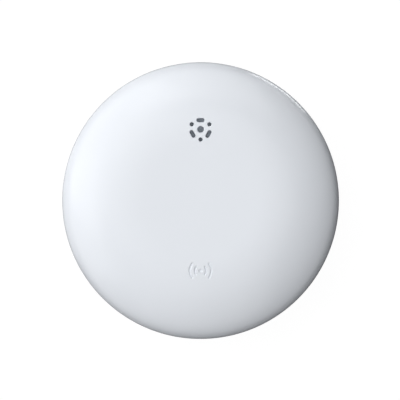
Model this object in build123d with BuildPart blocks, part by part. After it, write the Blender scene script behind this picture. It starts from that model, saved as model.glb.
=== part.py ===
"""Round pocket item tracker with a coin cell, a sounder and a hidden push switch.

Sizes are in millimetres. The tracker lies on its back: the origin is the middle of the flat ring that
it rests on, +Z points out of the front cover and +Y points to the sounder grille.
"""

from build123d import *
from math import cos, radians, sin
import os

os.makedirs("parts", exist_ok=True)

# Outside shape
body_diameter = 38.0
equator_height = 4.3
crown_edge_inset = 11.0
crown_cone_length = 4.4
crown_cone_angle = 6.0
crown_room = 0.9
base_cone_length = 1.2
base_cone_angle = 12.0
shoulder_angle = 30.0
wall = 1.2

# Welded joint between the two shells
tongue_length = 0.7
tongue_thickness = 0.55
tongue_gap = 0.05

# Coin cell
cell_diameter = 20.0
cell_height = 3.2
cell_sheet = 0.3
cell_crimp_width = 0.85
cell_grommet_width = 0.3
cell_cap_rise = 0.25
cell_cap_step = 0.75
cell_edge_chamfer = 0.2
cell_fit = 0.02

# Battery door and its bayonet
door_recess = 0.1
door_thickness = 0.95
door_gap = 0.1
door_edge_chamfer = 0.15
door_pad_thickness = 0.3
door_seal_thickness = 0.4
door_seal_gap = 0.1
skirt_gap = 0.15
skirt_wall = 0.5
turn_gap = 0.1
lug_reach = 0.7
lug_thickness = 0.75
lug_span = 24.0
lug_count = 3
first_lug_angle = 90.0
lift_gap = 0.05
ledge_thickness = 0.7
ledge_span = 30.0
stop_gap = 0.6
stop_span = 3.4
unlock_turn = 30.0
coin_slot_length = 12.0
coin_slot_width = 1.6
coin_slot_depth = 0.5
index_size = 0.75
index_depth = 0.15
index_inset = 1.4
index_angle = -90.0
mark_radius = 0.28

# Rear housing
seal_land = 0.9
base_land = 1.1
well_wall = 0.9
well_foot_height = 2.4
cell_rib_width = 0.8
cell_rib_gap = 0.12
cell_rib_length = 1.2
cell_rib_count = 6
first_rib_angle = 30.0
post_radius = 1.25
post_hole_depth = 2.6
post_hole_gap = 0.03
post_edge_inset = 1.85
post_count = 3
first_post_angle = 30.0
key_width = 1.2
key_depth = 1.2
key_gap = 0.15
key_rise = 0.5

# Main board
board_rim_gap = 1.6
board_thickness = 0.8
contact_room = 0.35
screw_clearance = 0.15

# Self-tapping screws
screw_shank_radius = 0.52
screw_length = 2.9
screw_head_radius = 1.1
screw_head_height = 0.6
screw_cross_length = 1.2
screw_cross_width = 0.26
screw_cross_depth = 0.3

# Spring contacts for the cell
contact_sheet = 0.15
contact_gap = 0.02
negative_width = 2.6
negative_foot = 1.6
negative_span = 10.0
positive_width = 3.0
positive_tab_width = 2.0
positive_stand_off = 0.85
positive_bow_radius = 0.4
positive_bow_angle = 45.0
positive_bow_rise = 0.65
positive_lead = 0.15
positive_solder_height = 0.3
positive_slot_gap = 0.1

# Sounder, its chamber and grille
grille_edge_inset = 6.45
grille_hole_radius = 0.45
grille_dot_radius = 0.28
grille_dot_circle = 1.39
grille_slot_length = 1.1
grille_slot_width = 0.55
grille_slot_circle = 1.26
grille_repeats = 3
mesh_radius = 2.2
mesh_thickness = 0.15
mesh_glue_width = 0.35
mesh_glue_thickness = 0.05
mesh_pocket_gap = 0.1
buzzer_radius = 4.5
buzzer_thickness = 0.2
buzzer_ceramic_radius = 3.2
buzzer_ceramic_thickness = 0.15
buzzer_glue_width = 0.5
buzzer_glue_thickness = 0.1
buzzer_rim_gap = 0.1
buzzer_stand_off = 0.6
chamber_wall = 0.4
finger_sheet = 0.1
finger_width = 0.7
finger_length = 1.8

# Push switch and the flexible patch above it
switch_edge_inset = 6.6
switch_length = 4.0
switch_width = 3.0
switch_base_height = 0.75
switch_floor = 0.2
switch_cavity_radius = 1.3
switch_frame_sheet = 0.15
switch_tab_width = 1.4
switch_tab_length = 0.5
switch_lead_width = 0.4
switch_lead_inset = 0.4
switch_lead_foot = 0.6
switch_lead_height = 0.35
plunger_radius = 0.8
plunger_gap = 0.1
plunger_flange_radius = 1.15
plunger_flange_height = 0.2
plunger_rise = 0.5
dome_radius = 1.2
dome_sheet = 0.06
press_gap = 0.05
press_rib_radius = 0.9
press_patch_radius = 3.0
press_patch_wall = 0.7

# Components on the board
radio_size = 6.0
radio_height = 0.85
radio_place = (-5.2, -0.6)
radio_pad_count = 8
radio_pad_pitch = 0.6
radio_pad_width = 0.3
radio_pad_length = 0.4
radio_pad_height = 0.2
radio_pad_reach = 0.1
sensor_size = 2.5
sensor_height = 0.9
sensor_place = (1.4, -1.0)
dot_radius = 0.25
dot_inset = 0.6
dot_depth = 0.05
crystal_size = (3.2, 2.5, 0.7)
clock_crystal_size = (1.6, 3.2, 0.75)
crystal_gap = 0.6
crystal_foot_height = 0.3
crystal_lid_inset = 0.2
antenna_size = (2.0, 5.2, 1.1)
antenna_edge_inset = 4.1
antenna_angle = -32.0
capacitor_size = (2.8, 3.5, 1.5)
capacitor_place = (6.4, -2.2)
passive_size = (0.5, 1.0, 0.45)
passive_groups = ((6.5, 2.4), (-5.2, -6.4))
passive_pitch = 1.4
passive_columns = 4
passive_row_gap = 1.6
terminal_length = 0.25
terminal_skin = 0.03

# Radii that follow, from the cell outwards
cell_radius = cell_diameter / 2
skirt_inner = cell_radius + skirt_gap
skirt_outer = skirt_inner + skirt_wall
ledge_inner = skirt_outer + turn_gap
lug_outer = ledge_inner + lug_reach
well_bore = lug_outer + turn_gap
well_middle = well_bore + well_wall / 2
well_radius = well_bore + well_wall
door_opening = well_bore + seal_land
door_radius = door_opening - door_gap
well_foot_radius = door_opening + well_wall
base_radius = door_opening + base_land

# Radii that follow, from the rim inwards
body_radius = body_diameter / 2
crown_radius = body_radius - crown_edge_inset
tongue_inner = body_radius - wall
tongue_outer = tongue_inner + tongue_thickness
rebate_radius = tongue_outer + tongue_gap
board_radius = tongue_inner - board_rim_gap
post_circle = board_radius - post_edge_inset
grille_offset = board_radius - grille_edge_inset
switch_offset = board_radius - switch_edge_inset

# Heights that follow, from the door upwards
door_inner_face = door_recess + door_thickness
seal_seat = door_inner_face + door_seal_thickness
ledge_top = seal_seat + ledge_thickness
lug_bottom = ledge_top + lift_gap
lug_top = lug_bottom + lug_thickness
cell_bottom = door_inner_face + door_pad_thickness
cell_top = cell_bottom + cell_height
can_top = cell_top - cell_cap_rise
board_bottom = cell_top + contact_room
board_top = board_bottom + board_thickness
tongue_end = equator_height - tongue_length

# Heights of the push switch and of the crown above it
switch_base_top = board_top + switch_base_height
switch_top = switch_base_top + switch_frame_sheet
flange_bottom = switch_base_top - plunger_flange_height
plunger_top = switch_top + plunger_rise
press_rib_foot = plunger_top + press_gap
crown_inside = plunger_top + crown_room
body_height = crown_inside + wall

# Heights and radii of the sounder and its chamber
ceramic_bottom = board_top + buzzer_stand_off
plate_bottom = ceramic_bottom + buzzer_ceramic_thickness
plate_top = plate_bottom + buzzer_thickness
chamber_seat = plate_top + buzzer_glue_thickness
chamber_inner = buzzer_radius - buzzer_glue_width
chamber_rim = buzzer_radius + buzzer_rim_gap
chamber_outer = chamber_rim + chamber_wall
mesh_top = crown_inside - mesh_glue_thickness

lug_angles = [first_lug_angle + n * 360 / lug_count for n in range(lug_count)]
positive_leg = cell_radius + positive_stand_off


def at_switch(height):
    """Level plane with its origin on the push switch's axis."""
    return Plane((0, -switch_offset, height))


def at_grille(height):
    """Level plane with its origin on the grille's axis."""
    return Plane((0, grille_offset, height))


def band(inner, outer, low, high, mode=Mode.ADD):
    """Adds a rectangle between two radii and two heights to the half section in hand."""
    with Locations(((inner + outer) / 2, (low + high) / 2)):
        Rectangle(outer - inner, high - low, mode=mode)


def ring_slice(inner_radius, outer_radius, middle_angle, span):
    """Adds a slice of a flat ring to the sketch in hand."""
    start = middle_angle - span / 2
    with BuildLine() as outline:
        inner = CenterArc((0, 0), inner_radius, start, span)
        outer = CenterArc((0, 0), outer_radius, start, span)
        Line(inner @ 0, outer @ 0)
        Line(inner @ 1, outer @ 1)
    make_face(outline.edges())


def shell_section(flat_radius, flat_height, cone_length, cone_angle, inset, mode):
    """Adds half of a shell's filled section: level in the middle, then a shallow cone, upright at the rim.

    Two arcs, tangent to the cone and to each other, turn it over the shoulder and down the rim. A section
    that is moved inwards by an inset follows the arcs in three chords.
    """
    side = 1 if flat_height > equator_height else -1
    cone_sin, cone_cos = sin(radians(cone_angle)), cos(radians(cone_angle))
    turn_sin, turn_cos = sin(radians(shoulder_angle)), cos(radians(shoulder_angle))
    cone_drop = cone_length * cone_sin / cone_cos
    run = body_radius - flat_radius - cone_length
    rise = abs(flat_height - equator_height) - cone_drop
    share = (turn_sin - cone_sin) * turn_cos - (1 - turn_sin) * (cone_cos - turn_cos)
    shoulder_radius = (run * turn_cos - rise * (1 - turn_sin)) / share
    rim_radius = (rise * (turn_sin - cone_sin) - run * (cone_cos - turn_cos)) / share

    start = (flat_radius - inset * (1 - cone_cos) / cone_sin, flat_height - side * inset)
    cone_end = (
        flat_radius + cone_length - inset * cone_sin,
        flat_height - side * (cone_drop + inset * cone_cos),
    )
    arc_mode = Mode.PRIVATE if inset else Mode.ADD
    with BuildLine() as outline:
        cone = Line(start, cone_end)
        shoulder = JernArc(
            cone_end, cone % 1, shoulder_radius - inset, side * (cone_angle - shoulder_angle), mode=arc_mode
        )
        rim = JernArc(
            shoulder @ 1, shoulder % 1, rim_radius - inset, side * (shoulder_angle - 90), mode=arc_mode
        )
        if inset:
            Polyline(cone_end, shoulder @ 1, rim @ 0.5, rim @ 1)
        Polyline(rim @ 1, (0, equator_height), (0, start[1]), start)
    make_face(outline.edges(), mode=mode)


def front_section(inset, mode=Mode.ADD):
    """Half section of the front cover's outside, moved inwards by an inset."""
    shell_section(crown_radius, body_height, crown_cone_length, crown_cone_angle, inset, mode)


def rear_section(inset, mode=Mode.ADD):
    """Half section of the rear housing's outside, moved inwards by an inset."""
    shell_section(base_radius, 0, base_cone_length, base_cone_angle, inset, mode)


# Cutter for the thin, flexible patch of the front cover around the press rib
with BuildPart() as press_patch:
    with BuildSketch(at_switch(press_rib_foot)):
        Circle(press_patch_radius)
        Circle(press_rib_radius, mode=Mode.SUBTRACT)
    extrude(amount=body_height - press_rib_foot)
    with BuildSketch(Plane.XZ):
        front_section(press_patch_wall)
    revolve(mode=Mode.INTERSECT)

# Front cover: sound chamber and press rib, trimmed to the middle of the wall, then the shell itself
with BuildPart() as front_cover:
    with BuildSketch(at_grille(plate_bottom)):
        Circle(chamber_outer)
        Circle(chamber_rim, mode=Mode.SUBTRACT)
    extrude(amount=body_height - plate_bottom)
    with BuildSketch(at_grille(chamber_seat)):
        Circle(chamber_rim + chamber_wall / 2)
        Circle(chamber_inner, mode=Mode.SUBTRACT)
    extrude(amount=body_height - chamber_seat)
    with BuildSketch(at_switch(press_rib_foot)):
        Circle(press_rib_radius)
    extrude(amount=body_height - press_rib_foot)
    with BuildSketch(Plane.XZ):
        front_section(wall / 2)
    revolve(mode=Mode.INTERSECT)

    with BuildSketch(Plane.XZ):
        front_section(0)
        front_section(wall, Mode.SUBTRACT)
        band(tongue_inner, tongue_outer, tongue_end, equator_height)
    revolve()
    add(press_patch.part, mode=Mode.SUBTRACT)

    with BuildSketch(at_grille(crown_inside)):
        Circle(mesh_radius + mesh_pocket_gap)
    extrude(amount=chamber_seat - crown_inside, mode=Mode.SUBTRACT)
    with BuildSketch(at_grille(body_height)):
        Circle(grille_hole_radius)
        with PolarLocations(grille_dot_circle, grille_repeats, -90):
            Circle(grille_dot_radius)
        with PolarLocations(grille_slot_circle, grille_repeats, 90):
            SlotOverall(grille_slot_length, grille_slot_width, rotation=90)
    extrude(amount=chamber_seat - body_height, mode=Mode.SUBTRACT)
front_cover.part.label = "front_cover"
export_step(front_cover.part, "parts/front_cover.step")

# Rear housing: screw posts and board key, trimmed to the middle of the wall, then bowl and cell well
with BuildPart() as rear_housing:
    with BuildSketch():
        with PolarLocations(post_circle, post_count, first_post_angle):
            Circle(post_radius)
    extrude(amount=board_bottom)
    with BuildSketch():
        with Locations((0, board_radius - key_depth / 2)):
            Rectangle(key_width, key_depth)
    extrude(amount=board_bottom + key_rise)
    with BuildSketch(Plane.XZ):
        rear_section(wall / 2)
        band(0, tongue_inner, equator_height, board_top)
        band(0, well_middle, 0, board_top, Mode.SUBTRACT)
        band(0, door_opening, 0, seal_seat, Mode.SUBTRACT)
    revolve(mode=Mode.INTERSECT)

    with BuildSketch(Plane.XZ):
        rear_section(0)
        rear_section(wall, Mode.SUBTRACT)
        band(base_radius, rebate_radius, tongue_end, equator_height, Mode.SUBTRACT)
        band(well_bore, well_radius, seal_seat, board_bottom)
        band(well_bore, well_foot_radius, seal_seat, well_foot_height)
        band(door_opening, well_foot_radius, 0, well_foot_height)
        band(0, door_opening, 0, seal_seat, Mode.SUBTRACT)
    revolve()

    with BuildSketch(Plane.XY.offset(seal_seat)):
        for lug_angle in lug_angles:
            ring_slice(ledge_inner, well_middle, lug_angle, ledge_span)
    extrude(amount=ledge_thickness)
    with BuildSketch(Plane.XY.offset(seal_seat)):
        for lug_angle in lug_angles:
            ring_slice(ledge_inner, well_middle, lug_angle + (lug_span + stop_span) / 2 + stop_gap, stop_span)
    extrude(amount=lug_top - seal_seat)

    cell_rib_reach = well_middle - cell_radius - cell_rib_gap
    with BuildSketch(Plane.XY.offset(lug_top + turn_gap)):
        with PolarLocations(well_middle - cell_rib_reach / 2, cell_rib_count, first_rib_angle):
            Rectangle(cell_rib_reach, cell_rib_width)
    extrude(amount=cell_rib_length)

    with BuildSketch(Plane.XY.offset(board_bottom)):
        with PolarLocations(post_circle, post_count, first_post_angle):
            Circle(screw_shank_radius + post_hole_gap)
    extrude(amount=-post_hole_depth, mode=Mode.SUBTRACT)
    with BuildSketch():
        with PolarLocations((door_opening + base_radius) / 2, 2, index_angle, -unlock_turn, endpoint=True):
            Circle(mark_radius)
    extrude(amount=index_depth, mode=Mode.SUBTRACT)
rear_housing.part.label = "rear_housing"
export_step(rear_housing.part, "parts/rear_housing.step")

# Battery door: plate, skirt round the cell, bayonet lugs, coin slot and pointer
with BuildPart() as battery_door:
    with BuildSketch(Plane.XZ):
        band(0, door_radius, door_recess, door_inner_face)
        band(skirt_inner, skirt_outer, door_recess, lug_top)
    revolve()
    door_rims = battery_door.edges().filter_by(GeomType.CIRCLE).group_by(SortBy.RADIUS)[-1]
    chamfer(door_rims.sort_by(Axis.Z)[0], door_edge_chamfer)
    with BuildSketch(Plane.XY.offset(lug_bottom)):
        for lug_angle in lug_angles:
            ring_slice(skirt_outer - skirt_wall / 2, lug_outer, lug_angle, lug_span)
    extrude(amount=lug_thickness)
    slot_cutter_radius = (coin_slot_length**2 / 4 + coin_slot_depth**2) / (2 * coin_slot_depth)
    with Locations((0, 0, door_recess + coin_slot_depth - slot_cutter_radius)):
        Cylinder(slot_cutter_radius, coin_slot_width, rotation=(90, 0, 0), mode=Mode.SUBTRACT)
    with BuildSketch(Plane.XY.offset(door_recess)):
        with PolarLocations(door_radius - index_inset, 1, index_angle):
            RegularPolygon(index_size, 3)
    extrude(amount=index_depth, mode=Mode.SUBTRACT)
battery_door.part.label = "battery_door"
export_step(battery_door.part, "parts/battery_door.step")

# Flat ring that seals the door against the foot of the well
with BuildPart() as door_seal:
    with BuildSketch(Plane.XZ):
        band(well_bore + door_seal_gap, door_radius - door_seal_gap, door_inner_face, seal_seat)
    revolve()
door_seal.part.label = "door_seal"
export_step(door_seal.part, "parts/door_seal.step")

# Foam disc on the door that presses the cell home
with BuildPart() as door_pad:
    with BuildSketch(Plane.XY.offset(door_inner_face)):
        Circle(cell_radius - skirt_gap)
    extrude(amount=door_pad_thickness)
door_pad.part.label = "door_pad"
export_step(door_pad.part, "parts/door_pad.step")

# Coin cell's radii and floor inside the can
can_floor = cell_bottom + cell_sheet
crimp_bore = cell_radius - cell_crimp_width
cap_neck = crimp_bore - cell_grommet_width

# Positive can: a cup whose side is as thick as its crimped rim, because the cell is a sealed unit
with BuildPart() as cell_can:
    with BuildSketch(Plane.XZ) as can_section:
        band(0, cell_radius, cell_bottom, can_top)
        chamfer(can_section.vertices().group_by(Axis.X)[-1], cell_edge_chamfer)
        band(0, crimp_bore, can_floor, can_top, Mode.SUBTRACT)
    revolve()
cell_can.part.label = "cell_can"
export_step(cell_can.part, "parts/cell_can.step")

# Insulating grommet between can and cap
with BuildPart() as cell_grommet:
    with BuildSketch(Plane.XZ):
        band(cap_neck + cell_fit, crimp_bore - cell_fit, can_floor, can_top)
    revolve()
cell_grommet.part.label = "cell_grommet"
export_step(cell_grommet.part, "parts/cell_grommet.step")

# Negative cap with its stepped face, filled down to the can's floor by the sealed contents
with BuildPart() as cell_cap:
    with BuildSketch(Plane.XZ):
        band(0, cap_neck - cell_cap_step, can_top, cell_top)
        band(0, cap_neck, can_floor, can_top)
    revolve()
cell_cap.part.label = "cell_cap"
export_step(cell_cap.part, "parts/cell_cap.step")

# Main board: round, with screw holes, a notch for the housing's key and slots for contact tabs
with BuildPart() as main_board:
    with BuildSketch(Plane.XY.offset(board_bottom)):
        Circle(board_radius)
        with PolarLocations(post_circle, post_count, first_post_angle):
            Circle(screw_shank_radius + screw_clearance, mode=Mode.SUBTRACT)
        with Locations((0, board_radius)):
            Rectangle(key_width + 2 * key_gap, 2 * (key_depth + key_gap), mode=Mode.SUBTRACT)
        with GridLocations(2 * positive_leg, 0, 2, 1):
            Rectangle(
                contact_sheet + 2 * positive_slot_gap,
                positive_tab_width + 2 * positive_slot_gap,
                mode=Mode.SUBTRACT,
            )
    extrude(amount=board_thickness)
main_board.part.label = "main_board"
export_step(main_board.part, "parts/main_board.step")

# Pan-head screws through the board into the posts, with a cross recess
with BuildPart() as board_screws:
    with BuildSketch(Plane.XY.offset(board_top)):
        with PolarLocations(post_circle, post_count, first_post_angle):
            Circle(screw_head_radius)
    extrude(amount=screw_head_height)
    with BuildSketch(Plane.XY.offset(board_top)):
        with PolarLocations(post_circle, post_count, first_post_angle):
            Circle(screw_shank_radius)
    extrude(amount=-screw_length)
    with BuildSketch(Plane.XY.offset(board_top + screw_head_height)):
        with PolarLocations(post_circle, post_count, first_post_angle):
            Rectangle(screw_cross_length, screw_cross_width)
            Rectangle(screw_cross_width, screw_cross_length)
    extrude(amount=-screw_cross_depth, mode=Mode.SUBTRACT)
board_screws.part.label = "board_screws"
export_step(board_screws.part, "parts/board_screws.step")

# Bowed strip under the board that presses on the cell's cap
with BuildPart() as negative_contact:
    foot_level = board_bottom - contact_sheet / 2
    bow_level = cell_top + contact_gap + contact_sheet / 2
    bow_end = negative_span / 2 - negative_foot
    with BuildSketch(Plane.XZ):
        with BuildLine():
            Line((-negative_span / 2, foot_level), (-bow_end, foot_level))
            ThreePointArc((-bow_end, foot_level), (0, bow_level), (bow_end, foot_level))
            Line((bow_end, foot_level), (negative_span / 2, foot_level))
        trace(line_width=contact_sheet)
    extrude(amount=negative_width / 2, both=True)
negative_contact.part.label = "negative_contact"
export_step(negative_contact.part, "parts/negative_contact.step")

# Two springs that hang through slots in the board, each with a bow that bears on the can's side
with BuildPart() as positive_contacts:
    with BuildSketch(Plane.XZ):
        with BuildLine():
            bow_centre = cell_radius + contact_gap + contact_sheet / 2 + positive_bow_radius
            bow = CenterArc(
                (bow_centre, lug_top + positive_bow_rise),
                positive_bow_radius,
                180 - positive_bow_angle,
                2 * positive_bow_angle,
            )
            shoulder = PolarLine(
                bow @ 0,
                positive_leg - (bow @ 0).X,
                90 - positive_bow_angle,
                length_mode=LengthMode.HORIZONTAL,
            )
            Line(shoulder @ 1, (positive_leg, board_top + positive_solder_height))
            PolarLine(bow @ 1, positive_lead, positive_bow_angle - 90)
        trace(line_width=contact_sheet)
    extrude(amount=positive_width / 2, both=True)
    with BuildSketch(Plane.XY.offset(board_bottom)):
        Rectangle(2 * body_radius, 2 * positive_width)
        Rectangle(2 * body_radius, positive_tab_width, mode=Mode.SUBTRACT)
    extrude(amount=board_thickness + positive_solder_height, mode=Mode.SUBTRACT)
    mirror(about=Plane.YZ)
positive_contacts.part.label = "positive_contacts"
export_step(positive_contacts.part, "parts/positive_contacts.step")

# Base of the push switch, with a round cavity for the snap dome
with BuildPart() as switch_base:
    with BuildSketch(at_switch(board_top)):
        Rectangle(switch_length, switch_width)
    extrude(amount=switch_base_height)
    with BuildSketch(at_switch(board_top + switch_floor)):
        Circle(switch_cavity_radius)
    extrude(amount=switch_base_height - switch_floor, mode=Mode.SUBTRACT)
switch_base.part.label = "switch_base"
export_step(switch_base.part, "parts/switch_base.step")

# Metal frame that holds the plunger in, with a tab folded down each end of the base
with BuildPart() as switch_frame:
    frame_length = switch_length + 2 * (contact_gap + switch_frame_sheet)
    with BuildSketch(at_switch(switch_base_top)):
        Rectangle(frame_length, switch_width)
        Circle(plunger_radius + plunger_gap, mode=Mode.SUBTRACT)
    extrude(amount=switch_frame_sheet)
    with BuildSketch(at_switch(switch_top)):
        with GridLocations(frame_length - switch_frame_sheet, 0, 2, 1):
            Rectangle(switch_frame_sheet, switch_tab_width)
    extrude(amount=-switch_frame_sheet - switch_tab_length)
switch_frame.part.label = "switch_frame"
export_step(switch_frame.part, "parts/switch_frame.step")

# Four bent leads that solder the push switch to the board
with BuildPart() as switch_leads:
    lead_inner = switch_length / 2 + contact_gap
    lead_row = switch_width - 2 * switch_lead_inset
    with BuildSketch(at_switch(board_top)):
        with GridLocations(2 * lead_inner + switch_lead_foot, lead_row, 2, 2):
            Rectangle(switch_lead_foot, switch_lead_width)
    extrude(amount=contact_sheet)
    with BuildSketch(at_switch(board_top)):
        with GridLocations(2 * lead_inner + contact_sheet, lead_row, 2, 2):
            Rectangle(contact_sheet, switch_lead_width)
    extrude(amount=switch_lead_height)
switch_leads.part.label = "switch_leads"
export_step(switch_leads.part, "parts/switch_leads.step")

# Snap dome: a thin cap of sheet steel on the floor of the switch's cavity
with BuildPart() as switch_dome:
    with BuildSketch(Plane.XZ.offset(switch_offset)):
        with BuildLine():
            TangentArc(
                (0, flange_bottom - contact_gap - dome_sheet / 2),
                (dome_radius, board_top + switch_floor + dome_sheet / 2),
                tangent=(1, 0),
            )
        trace(line_width=dome_sheet)
    revolve(axis=Axis((0, -switch_offset, 0), (0, 0, 1)))
switch_dome.part.label = "switch_dome"
export_step(switch_dome.part, "parts/switch_dome.step")

# Plunger with a flange that the frame holds down
with BuildPart() as switch_plunger:
    with BuildSketch(at_switch(flange_bottom)):
        Circle(plunger_flange_radius)
    extrude(amount=plunger_flange_height)
    with BuildSketch(at_switch(switch_base_top)):
        Circle(plunger_radius)
    extrude(amount=plunger_top - switch_base_top)
switch_plunger.part.label = "switch_plunger"
export_step(switch_plunger.part, "parts/switch_plunger.step")

# Brass plate of the sounder
with BuildPart() as buzzer_plate:
    with BuildSketch(at_grille(plate_bottom)):
        Circle(buzzer_radius)
    extrude(amount=buzzer_thickness)
buzzer_plate.part.label = "buzzer_plate"
export_step(buzzer_plate.part, "parts/buzzer_plate.step")

# Piezo ceramic disc bonded under the plate
with BuildPart() as buzzer_ceramic:
    with BuildSketch(at_grille(ceramic_bottom)):
        Circle(buzzer_ceramic_radius)
    extrude(amount=buzzer_ceramic_thickness)
buzzer_ceramic.part.label = "buzzer_ceramic"
export_step(buzzer_ceramic.part, "parts/buzzer_ceramic.step")

# Glue ring that holds the plate on the seat of the sound chamber
with BuildPart() as buzzer_glue:
    with BuildSketch(at_grille(plate_top)):
        Circle(buzzer_radius)
        Circle(chamber_inner, mode=Mode.SUBTRACT)
    extrude(amount=buzzer_glue_thickness)
buzzer_glue.part.label = "buzzer_glue"
export_step(buzzer_glue.part, "parts/buzzer_glue.step")

# C-shaped springs that stand on the board: one meets the ceramic, one the bare rim of the plate
with BuildPart() as buzzer_contacts:
    bare_rim_middle = (buzzer_ceramic_radius + buzzer_radius) / 2
    for contact_x, contact_z in ((0, ceramic_bottom), (bare_rim_middle, plate_bottom)):
        arm_level = contact_z - contact_gap - finger_sheet / 2
        foot_level = board_top + finger_sheet / 2
        bend_radius = (arm_level - foot_level) / 2
        with BuildSketch(Plane.XZ.offset(-grille_offset)):
            with BuildLine():
                foot = Line(
                    (contact_x - finger_length / 2, foot_level),
                    (contact_x + finger_length / 2 - bend_radius, foot_level),
                )
                bend = JernArc(foot @ 1, foot % 1, bend_radius, 180)
                Line(bend @ 1, (contact_x - finger_width / 2, arm_level))
            trace(line_width=finger_sheet)
        extrude(amount=finger_width / 2, both=True)
buzzer_contacts.part.label = "buzzer_contacts"
export_step(buzzer_contacts.part, "parts/buzzer_contacts.step")

# Acoustic mesh behind the grille
with BuildPart() as grille_mesh:
    with BuildSketch(at_grille(mesh_top)):
        Circle(mesh_radius)
    extrude(amount=-mesh_thickness)
grille_mesh.part.label = "grille_mesh"
export_step(grille_mesh.part, "parts/grille_mesh.step")

# Glue ring that holds the mesh in its pocket
with BuildPart() as mesh_glue:
    with BuildSketch(at_grille(mesh_top)):
        Circle(mesh_radius)
        Circle(mesh_radius - mesh_glue_width, mode=Mode.SUBTRACT)
    extrude(amount=mesh_glue_thickness)
mesh_glue.part.label = "mesh_glue"
export_step(mesh_glue.part, "parts/mesh_glue.step")


def stand_on_board(length, width, height, place):
    """Adds a block on top of the board."""
    with BuildSketch(Plane.XY.offset(board_top)) as footprint:
        with Locations(place):
            Rectangle(length, width)
    extrude(footprint.sketch, amount=height)


def chip_body(size, height, place):
    """Adds a square chip with a dimple at its first corner."""
    stand_on_board(size, size, height, place)
    with BuildSketch(Plane.XY.offset(board_top + height)) as dimple:
        with Locations((place[0] - size / 2 + dot_inset, place[1] + size / 2 - dot_inset)):
            Circle(dot_radius)
    extrude(dimple.sketch, amount=-dot_depth, mode=Mode.SUBTRACT)


def crystal_body(size, side):
    """Adds a crystal beside the radio chip: a ceramic foot with a smaller metal lid on it.

    It stands clear of the contact spring, on the side of it that points up (1) or down (-1).
    """
    length, width, height = size
    place = (
        radio_place[0] - radio_size / 2 - crystal_gap - length / 2,
        side * (positive_width / 2 + crystal_gap + width / 2),
    )
    stand_on_board(length, width, crystal_foot_height, place)
    stand_on_board(length - 2 * crystal_lid_inset, width - 2 * crystal_lid_inset, height, place)


def capped_blocks(size, places):
    """Adds blocks on the board that have a slightly larger metal cap at each end."""
    width, length, height = size
    with BuildSketch(Plane.XY.offset(board_top)) as bodies:
        with Locations(*places):
            Rectangle(width, length)
    extrude(bodies.sketch, amount=height)
    with BuildSketch(Plane.XY.offset(board_top)) as caps:
        with Locations(*places):
            with GridLocations(0, length - terminal_length, 1, 2):
                Rectangle(width + 2 * terminal_skin, terminal_length + 2 * terminal_skin)
    extrude(caps.sketch, amount=height + terminal_skin)


# Radio chip with solder pads along all four sides
with BuildPart() as radio_chip:
    chip_body(radio_size, radio_height, radio_place)
    pad_row_gap = radio_size + 2 * radio_pad_reach - radio_pad_length
    with BuildSketch(Plane.XY.offset(board_top)):
        with Locations(radio_place):
            with GridLocations(radio_pad_pitch, pad_row_gap, radio_pad_count, 2):
                Rectangle(radio_pad_width, radio_pad_length)
            with GridLocations(pad_row_gap, radio_pad_pitch, 2, radio_pad_count):
                Rectangle(radio_pad_length, radio_pad_width)
    extrude(amount=radio_pad_height)
radio_chip.part.label = "radio_chip"
export_step(radio_chip.part, "parts/radio_chip.step")

# Motion sensor chip
with BuildPart() as motion_sensor:
    chip_body(sensor_size, sensor_height, sensor_place)
motion_sensor.part.label = "motion_sensor"
export_step(motion_sensor.part, "parts/motion_sensor.step")

# Crystal of the radio
with BuildPart() as main_crystal:
    crystal_body(crystal_size, 1)
main_crystal.part.label = "main_crystal"
export_step(main_crystal.part, "parts/main_crystal.step")

# Crystal of the clock
with BuildPart() as clock_crystal:
    crystal_body(clock_crystal_size, -1)
clock_crystal.part.label = "clock_crystal"
export_step(clock_crystal.part, "parts/clock_crystal.step")

# Ceramic antenna near the board's edge
with BuildPart() as chip_antenna:
    antenna_circle = board_radius - antenna_edge_inset
    antenna_turn = radians(antenna_angle)
    capped_blocks(antenna_size, [(antenna_circle * cos(antenna_turn), antenna_circle * sin(antenna_turn))])
chip_antenna.part.label = "chip_antenna"
export_step(chip_antenna.part, "parts/chip_antenna.step")

# Capacitor that steadies the cell's voltage
with BuildPart() as buffer_capacitor:
    capped_blocks(capacitor_size, [capacitor_place])
buffer_capacitor.part.label = "buffer_capacitor"
export_step(buffer_capacitor.part, "parts/buffer_capacitor.step")

# Small resistors and capacitors in two groups of two rows
with BuildPart() as small_passives:
    row_start = -(passive_columns - 1) * passive_pitch / 2
    passive_places = [
        (x + row_start + column * passive_pitch, y + side * passive_row_gap / 2)
        for x, y in passive_groups
        for column in range(passive_columns)
        for side in (-1, 1)
    ]
    capped_blocks(passive_size, passive_places)
small_passives.part.label = "small_passives"
export_step(small_passives.part, "parts/small_passives.step")
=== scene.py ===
# Round pocket item tracker. The sections follow the tracker as it is put together, from the rear housing
# to the battery door; the table, its lamps and the camera come last. Lengths are written in millimetres.
from math import acos, asin, copysign, cos, pi, radians, sin, sqrt

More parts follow.
